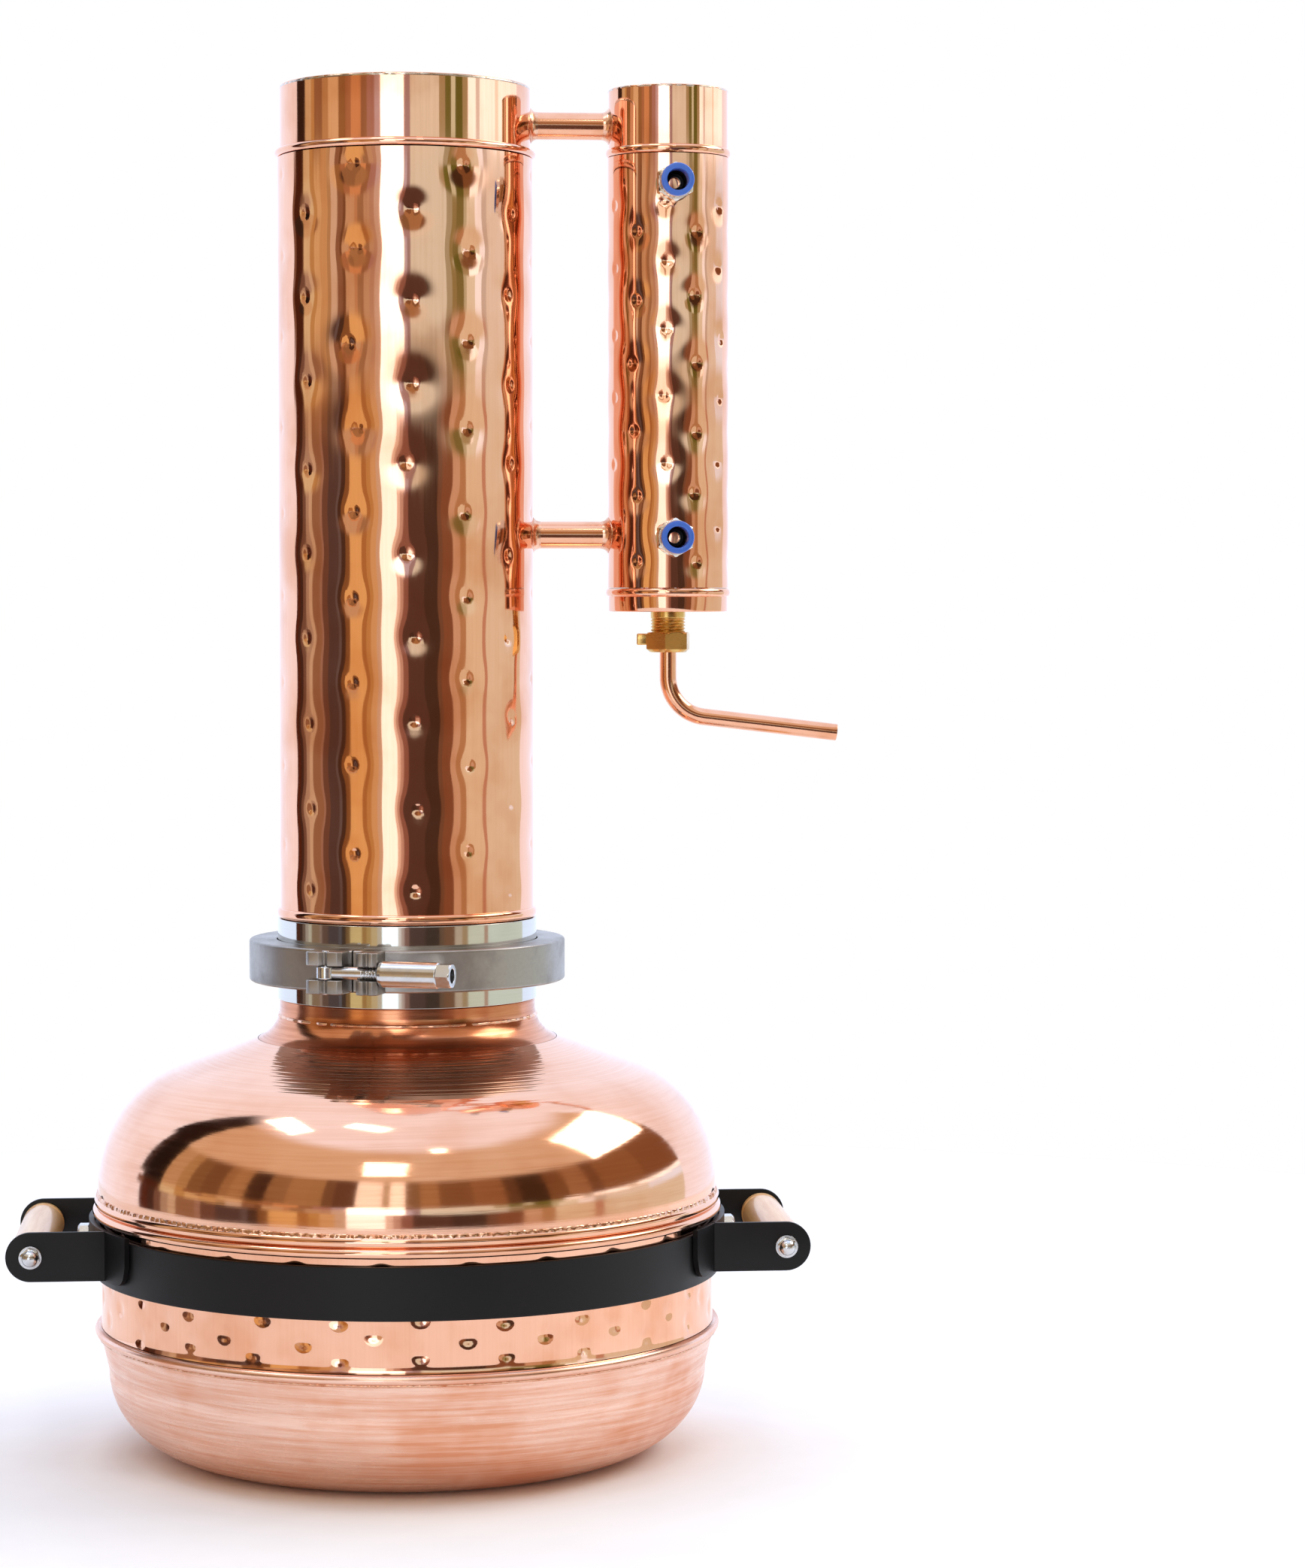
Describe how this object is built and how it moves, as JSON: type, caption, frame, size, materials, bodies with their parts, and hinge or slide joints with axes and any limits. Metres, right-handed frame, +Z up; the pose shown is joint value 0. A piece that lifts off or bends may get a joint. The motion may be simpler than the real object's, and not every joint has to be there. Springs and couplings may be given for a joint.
{
  "type": "alembic still",
  "caption": "Copper column still: spun pot with flat base, clamped hammered column, slim condenser with push-in water ports, bent spout and a black strap hoop with wooden grips.",
  "frame": {"origin": "centre of the pot's flat base, on the axis of pot and column", "axes": "+Z up along the column, +X towards the condenser, -Y is the front, where the water ports point"},
  "size_m": [0.4875, 0.3706, 0.8],
  "materials": {
    "brushed_copper": "satin spun copper",
    "hammered_copper": "polished copper with hammer dimples",
    "polished_copper": "polished copper with spinning rings",
    "polished_stainless": "mirror polished stainless",
    "cast_stainless": "satin cast stainless",
    "zinc_steel": "bright plated steel",
    "nickel": "nickel plated brass",
    "brass": "machined brass",
    "black_steel": "satin black powder coat",
    "beech": "lacquered beech",
    "blue_plastic": "moulded plastic",
    "silicone": "moulded silicone",
    "black_rubber": "moulded EPDM rubber"
  },
  "bodies": {
    "pot": {"pot_base": "brushed_copper", "pot_bowl": "brushed_copper", "pot_belt": "hammered_copper", "pot_dome": "polished_copper", "pot_neck": "polished_copper", "pot_ferrule": "polished_stainless", "union_gasket": "silicone", "sieve_plate": "polished_copper", "hoop": "black_steel", "left_bracket": "black_steel", "right_bracket": "black_steel", "left_hoop_bolt": "zinc_steel", "right_hoop_bolt": "zinc_steel", "left_grip_rod": "zinc_steel", "right_grip_rod": "zinc_steel", "left_grip_nut_front": "zinc_steel", "left_grip_nut_rear": "zinc_steel", "right_grip_nut_front": "zinc_steel", "right_grip_nut_rear": "zinc_steel", "clamp_half_left": "cast_stainless", "clamp_half_right": "cast_stainless", "clamp_hinge_pin": "zinc_steel", "clamp_bolt_pin": "zinc_steel"},
    "column": {"column_ferrule": "polished_stainless", "column_shell": "hammered_copper", "column_cap": "polished_copper", "column_lid": "polished_copper", "vapour_pipe": "polished_copper", "brace_pipe": "polished_copper", "vapour_collar_column": "polished_copper", "vapour_collar_condenser": "polished_copper", "brace_collar_column": "polished_copper", "brace_collar_condenser": "polished_copper", "condenser_shell": "hammered_copper", "condenser_top_cap": "polished_copper", "condenser_bottom_cap": "polished_copper", "upper_tube_plate": "polished_copper", "lower_tube_plate": "polished_copper", "condenser_tube_1": "polished_copper", "condenser_tube_2": "polished_copper", "condenser_tube_3": "polished_copper", "condenser_tube_4": "polished_copper", "condenser_tube_5": "polished_copper", "condenser_tube_6": "polished_copper", "condenser_tube_7": "polished_copper", "upper_port_body": "nickel", "lower_port_body": "nickel", "upper_port_seal": "black_rubber", "lower_port_seal": "black_rubber", "outlet_nipple": "brass"},
    "swing_bolt": {"clamp_bolt": "zinc_steel"},
    "barrel_nut": {"clamp_nut": "zinc_steel"},
    "left_handle": {"left_grip": "beech"},
    "right_handle": {"right_grip": "beech"},
    "upper_collet": {"upper_port_collet": "blue_plastic"},
    "lower_collet": {"lower_port_collet": "blue_plastic"},
    "compression_nut": {"outlet_nut": "brass"},
    "spout": {"outlet_spout": "polished_copper", "outlet_olive": "brass"}
  },
  "joints": [
    {"name": "column_swivel", "type": "hinge", "parent": "pot", "child": "column", "pos_m": [0, 0, 0.29], "axis": [0, 0, 1], "continuous": true},
    {"name": "clamp_bolt_swing", "type": "hinge", "parent": "pot", "child": "swing_bolt", "pos_m": [-0.0488, -0.08938, 0.29], "axis": [0, 0, -1], "range_deg": [0, 100]},
    {"name": "clamp_nut_spin", "type": "hinge", "parent": "swing_bolt", "child": "barrel_nut", "pos_m": [0.00058, -0.10863, 0.29], "axis": [0.9317, -0.3633, 0], "continuous": true},
    {"name": "left_grip_spin", "type": "hinge", "parent": "pot", "child": "left_handle", "pos_m": [-0.2176, 0, 0.12575], "axis": [0, 1, 0], "continuous": true},
    {"name": "right_grip_spin", "type": "hinge", "parent": "pot", "child": "right_handle", "pos_m": [0.2176, 0, 0.12575], "axis": [0, 1, 0], "continuous": true},
    {"name": "upper_collet_press", "type": "slide", "parent": "column", "child": "upper_collet", "axis": [0, 1, 0], "range_m": [0, 0.0015], "stiffness_N_per_m": 1500, "springref_m": -0.001},
    {"name": "lower_collet_press", "type": "slide", "parent": "column", "child": "lower_collet", "axis": [0, 1, 0], "range_m": [0, 0.0015], "stiffness_N_per_m": 1500, "springref_m": -0.001},
    {"name": "outlet_nut_turn", "type": "hinge", "parent": "column", "child": "compression_nut", "pos_m": [0.1545, 0, 0.476], "axis": [0, 0, 1], "continuous": true},
    {"name": "spout_swivel", "type": "hinge", "parent": "column", "child": "spout", "pos_m": [0.1545, 0, 0.47], "axis": [0, 0, 1], "range_deg": [-140, 140]}
  ]
}
